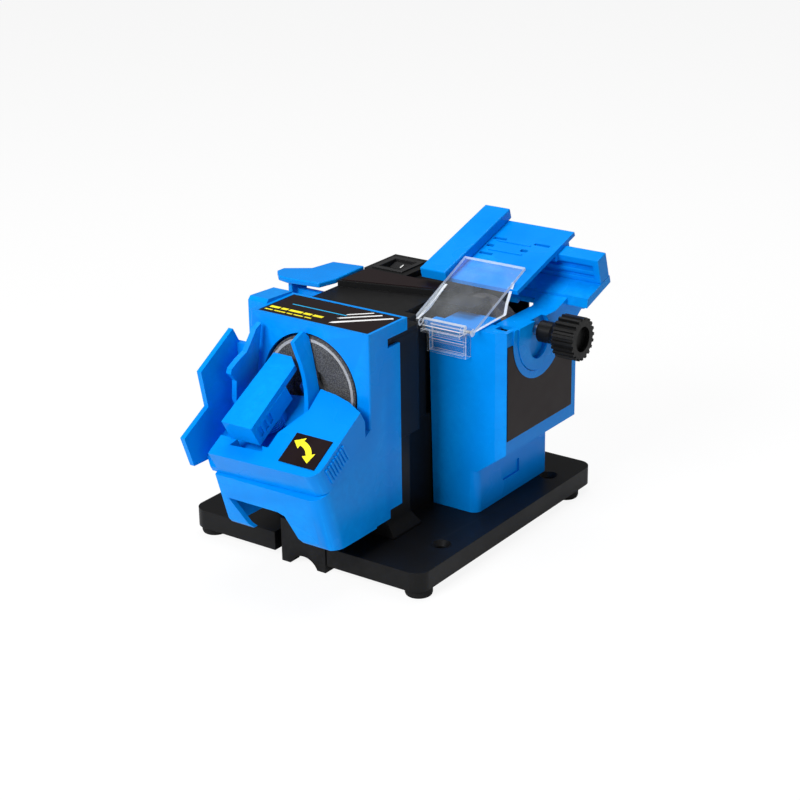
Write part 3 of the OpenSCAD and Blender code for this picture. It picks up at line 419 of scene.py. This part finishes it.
blue_plastic = moulded("blue_gloss_plastic", (0.0, 0.255, 0.85), wear_and_highlight=(0.002, 0.36, 0.97),
    rough=0.24, grain=0.7 * mm, depth=0.02 * mm, gloss=0.10, cloud=30 * mm)
eased("drill_housing", blue_plastic, 0.9 * mm, slot="blue_plastic")
finish_node("drill_label", dark_film)
yellow_print = printed_film("yellow_print", (0.90, 0.78, 0.03), 0.35)
white_print = printed_film("white_print", (0.80, 0.80, 0.80), 0.35)
cyan_print = printed_film("cyan_print", (0.02, 0.40, 0.75), 0.35)

low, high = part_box("drill_label")
ink = 0.04 * mm
top = high.z + ink / 2
dash_start = -33.0
dash_gap = 1.1
dash_rows = ((-67.4, 2.6, (6.5, 4.2, 8.6, 5.0, 6.4)), (-72.0, 1.2, (5.0, 7.4, 3.6, 6.0, 4.4)))
for row, (y, depth, lengths) in enumerate(dash_rows):
    x = dash_start
    for number, length in enumerate(lengths):
        place = Matrix.Translation(((x + length / 2) * mm, y * mm, top))
        flat_piece(f"housing_dash_{row + 1}_{number + 1}", bar(length * mm, depth * mm, ink),
            yellow_print, "base", place)
        x += length + dash_gap
place = Matrix.Translation((-7.0 * mm, -58.5 * mm, top))
flat_piece("housing_line", bar(36.0 * mm, 0.9 * mm, ink), cyan_print, "base", place)


def drill_sign(length, width):
    """A flat sign for a drill: a point at the origin and a body that narrows a little."""
    half = width / 2
    corners = ((0, 0), (width, half), (length, half * 0.8), (length, -half * 0.8), (width, -half))
    return slab([(x, y, 0) for x, y in corners], (0, 0, ink))


sign_turn = Matrix.Rotation(math.radians(43), 4, "Z")
signs = ((9.5, -72.2, 34.0, 2.3), (9.0, -64.4, 24.0, 1.9), (9.6, -57.4, 15.0, 1.5))
for number, (x, y, length, width) in enumerate(signs):
    place = Matrix.Translation((x * mm, y * mm, top - ink / 2)) @ sign_turn
    flat_piece(f"drill_sign_{number + 1}", drill_sign(length * mm, width * mm), white_print, "base",
        place)

# ---------------------------------------------------------------- drill jig
# The block that swings on its pin, with its side plate, the two guide cheeks, the clamp bar
# that holds the drill down and the ribbed screw under it. All are blue ABS.

for name, radius in (("drill_jig", 0.9), ("jig_guide", 0.4), ("clamp_bar", 0.7)):
    eased(name, blue_plastic, radius * mm, slot="blue_plastic")
eased("clamp_screw", blue_plastic, 0.15 * mm, 2, slot="blue_plastic")

# ---------------------------------------------------------------- arrow label
# A square dark film glued on the jig's bed. Its bent yellow arrow has a head at each end, since
# the jig swings both ways.

finish_node("arrow_label", dark_film)
jig_origin = (0, -96.1 * mm, 93.6 * mm)
jig_slope = math.radians(31)
arrow_centre = Vector((17.6, -27.9, 0.55)) * mm
arrow_radius = 11.6 * mm
arrow_width = 3.2 * mm
arrow_print = 0.06 * mm
arrow_start = math.radians(27)
arrow_sweep = math.radians(53)
head_length = 5.4 * mm
head_half = 3.7 * mm
head_skew = 0.5 * mm
head_overlap = 0.3 * mm
jig_place = Matrix.Translation(jig_origin) @ Matrix.Rotation(jig_slope, 4, "X")
lie = jig_place @ Matrix.Translation(arrow_centre)
flat_piece("arrow_band", ring_sector(arrow_radius, arrow_width, arrow_print, arrow_sweep), yellow_print,
    "jig", lie @ Matrix.Rotation(arrow_start, 4, "Z"))
for number, (end, side) in enumerate(((arrow_start, -1), (arrow_start + arrow_sweep, 1))):
    corners = ((-head_half, 0), (head_half, 0), (-head_skew, side * head_length))
    head = slab([(x, y, -arrow_print / 2) for x, y in corners], (0, 0, arrow_print))
    tip = Matrix.Rotation(end, 4, "Z") @ Matrix.Translation((arrow_radius, -side * head_overlap, 0))
    flat_piece(f"arrow_head_{number + 1}", head, yellow_print, "jig", lie @ tip)

# ---------------------------------------------------------------- side rest
# A blue ABS rest at the left of the motor body, moulded in one piece with the two webs that
# carry it.

eased("side_rest", blue_plastic, 0.7 * mm, slot="blue_plastic")

# ---------------------------------------------------------------- chisel housing and its label
# A blue housing on a narrow foot, with the round cradle for the table's lug. The dark film on
# its side is left bare.

eased("chisel_housing", blue_plastic, 0.8 * mm, slot="blue_plastic")
finish_node("chisel_label", dark_film)

# ---------------------------------------------------------------- tilting table
# The yoke with its lug and cheek, the rail, the carriage that slides on it and the fence bar,
# all of blue ABS. The black ribbed knob clamps the lug in its cradle.

eased("table_yoke", blue_plastic, 0.8 * mm, slot="blue_plastic")
eased("slide_rail", blue_plastic, 0.5 * mm, slot="blue_plastic")
carriage = eased("carriage", blue_plastic, 0.4 * mm, slot="blue_plastic")
eased("fence_bar", blue_plastic, 0.8 * mm, slot="blue_plastic")

# the bed's front lip reaches further down the slope
table_slope = math.radians(17)
up_slope = Vector((0, math.cos(table_slope), math.sin(table_slope)))
bed_front = Vector((0, 28 * mm, 117 * mm)).dot(up_slope) + 8 * mm
lip_reach = 5.5 * mm
for corner in carriage.data.vertices:
    if corner.co.dot(up_slope) < bed_front + 0.1 * mm:
        corner.co -= up_slope * lip_reach
eased("clamp_knob", black_plastic, 0.45 * mm, 2, slot="black_plastic")

# ---------------------------------------------------------------- guard
# Clear injection-moulded polycarbonate, hinged in a clear clip on the housing's front. The
# edges of the sheet are given a whiter, less clear finish, a painted highlight for the light they gather.

def clear_moulding(name, see_through, rough):
    """Clear plastic as a thin wall: it lets the view through unbent, with gloss and a faint haze."""
    material, tree, shader, place = new_material(name)
    haze = noise(tree, place, 15 * mm, 3.0)
    shader.inputs["Base Color"].default_value = (0.90, 0.95, 1.0, 1.0)
    shader.inputs["IOR"].default_value = 1.49
    shader.inputs["Specular IOR Level"].default_value = 0.6
    tree.links.new(spread(tree, haze, see_through - 0.02, see_through + 0.02), shader.inputs["Alpha"])
    tree.links.new(spread(tree, haze, rough, rough + 0.07), shader.inputs["Roughness"])
    tree.links.new(bump(tree, noise(tree, place, 10 * mm, 1.0), 0.06 * mm, 0.2), shader.inputs["Normal"])
    return material


clear_wall = clear_moulding("clear_polycarbonate", see_through=0.045, rough=0.03)
# a whiter, less clear finish for the edges: painted highlight
edge_highlight_clear = clear_moulding("clear_edge_painted_highlight", see_through=0.80, rough=0.12)


def clear_piece(name, radius):
    """A clear moulding whose edge radii carry a painted highlight."""
    piece = eased(name, clear_wall, radius, 2, slot="clear_plastic")
    piece.data.materials.append(edge_highlight_clear)
    piece.modifiers["edge radius"].material = 1
    return piece


guard = clear_piece("guard", 0.3 * mm)
clear_piece("guard_clip", 0.22 * mm)

# the guard's rim faces get the painted highlight too: a long face's width is twice its area over its
# outline
narrowest_rim = 0.8 * mm
widest_rim = 2.4 * mm
for polygon in guard.data.polygons:
    ring = [guard.data.vertices[index].co for index in polygon.vertices]
    around = sum((a - b).length for a, b in zip(ring, ring[1:] + ring[:1]))
    if narrowest_rim < 2 * polygon.area / around < widest_rim:
        polygon.material_index = 1

# ---------------------------------------------------------------- studio
# A white table top and room, a large soft light at the front left, a weaker one at the right
# and one above.

def studio_white(name, strength, share_seen):
    """A matt white that the camera sees as glowing for a share, so that it comes out pale."""
    material = bpy.data.materials.new(name)
    material.use_nodes = True
    tree = material.node_tree
    tree.nodes.clear()
    out = tree.nodes.new("ShaderNodeOutputMaterial")
    matt = tree.nodes.new("ShaderNodeBsdfDiffuse")
    matt.inputs["Color"].default_value = (0.80, 0.80, 0.80, 1)
    glow = tree.nodes.new("ShaderNodeEmission")
    glow.inputs["Strength"].default_value = strength
    path = tree.nodes.new("ShaderNodeLightPath")
    rays = tree.nodes.new("ShaderNodeMath")
    rays.operation = "MAXIMUM"
    tree.links.new(path.outputs["Is Camera Ray"], rays.inputs[0])
    tree.links.new(path.outputs["Is Transmission Ray"], rays.inputs[1])
    share = tree.nodes.new("ShaderNodeMath")
    share.operation = "MULTIPLY"
    share.inputs[1].default_value = share_seen
    tree.links.new(rays.outputs[0], share.inputs[0])
    mix = tree.nodes.new("ShaderNodeMixShader")
    tree.links.new(share.outputs[0], mix.inputs["Fac"])
    tree.links.new(matt.outputs["BSDF"], mix.inputs[1])
    tree.links.new(glow.outputs["Emission"], mix.inputs[2])
    tree.links.new(mix.outputs["Shader"], out.inputs["Surface"])
    return material


floor_shape = bmesh.new()
bmesh.ops.create_grid(floor_shape, x_segments=1, y_segments=1, size=6.0)
floor_mesh = bpy.data.meshes.new("floor")
floor_shape.to_mesh(floor_mesh)
floor_shape.free()
floor_mesh.materials.append(studio_white("floor_white", strength=1.04, share_seen=0.86))
floor = bpy.data.objects.new("floor", floor_mesh)
bpy.context.scene.collection.objects.link(floor)

room_light = 0.16
world = bpy.data.worlds.new("studio")
bpy.context.scene.world = world
world.use_nodes = True
air = world.node_tree
soft = air.nodes["Background"]
soft.inputs["Color"].default_value = (1, 1, 1, 1)
path = air.nodes.new("ShaderNodeLightPath")
seen = air.nodes.new("ShaderNodeMath")
seen.operation = "MAXIMUM"
air.links.new(path.outputs["Is Camera Ray"], seen.inputs[0])
air.links.new(path.outputs["Is Transmission Ray"], seen.inputs[1])
level = air.nodes.new("ShaderNodeMapRange")
level.inputs["To Min"].default_value = room_light
level.inputs["To Max"].default_value = 1.0
air.links.new(seen.outputs[0], level.inputs["Value"])
air.links.new(level.outputs["Result"], soft.inputs["Strength"])


def soft_box(name, place, target, width, height, power):
    """A rectangular area light, turned to face its target."""
    light = bpy.data.lights.new(name, "AREA")
    light.shape = "RECTANGLE"
    light.size = width
    light.size_y = height
    light.energy = power
    lamp = bpy.data.objects.new(name, light)
    lamp.location = place
    lamp.rotation_euler = (Vector(target) - Vector(place)).to_track_quat("-Z", "Y").to_euler()
    bpy.context.scene.collection.objects.link(lamp)


aim = (0.0, -0.01, 0.08)
soft_box("key_light", (-0.12, -1.3, 0.95), aim, width=0.7, height=0.6, power=21.5)
soft_box("fill_light", (1.3, -0.35, 0.55), aim, width=0.8, height=0.6, power=2.2)
soft_box("top_light", (-0.1, 0.25, 1.3), aim, width=0.8, height=0.8, power=9.5)

# ---------------------------------------------------------------- camera
# A long lens at the front right, a little above the machine and rolled by about a degree. Its
# focal length and shifts are in points of a picture 800 points wide.

picture_width = 800.0
focal_points = 1922.0
eye = (0.5895, -0.8200, 0.4634)
turn_left = math.radians(35.80)
look_down = math.radians(21.34)
roll = math.radians(0.90)
forward = Vector((-math.sin(turn_left) * math.cos(look_down), math.cos(turn_left) * math.cos(look_down),
    -math.sin(look_down)))
level_right = Vector((math.cos(turn_left), math.sin(turn_left), 0))
level_down = forward.cross(level_right)
right = level_right * math.cos(roll) + level_down * math.sin(roll)
down = level_down * math.cos(roll) - level_right * math.sin(roll)
lens = bpy.data.cameras.new("camera")
lens.sensor_width = 36.0
lens.lens = lens.sensor_width * focal_points / picture_width
lens.shift_x = 6.7 / picture_width
lens.shift_y = 0.3 / picture_width
lens.clip_start = 0.05
lens.clip_end = 30.0
camera = bpy.data.objects.new("camera", lens)
camera.matrix_world = Matrix((
    (right.x, -down.x, -forward.x, eye[0]),
    (right.y, -down.y, -forward.y, eye[1]),
    (right.z, -down.z, -forward.z, eye[2]),
    (0, 0, 0, 1)))
bpy.context.scene.collection.objects.link(camera)
bpy.context.scene.camera = camera
bpy.context.scene.view_settings.view_transform = "Standard"
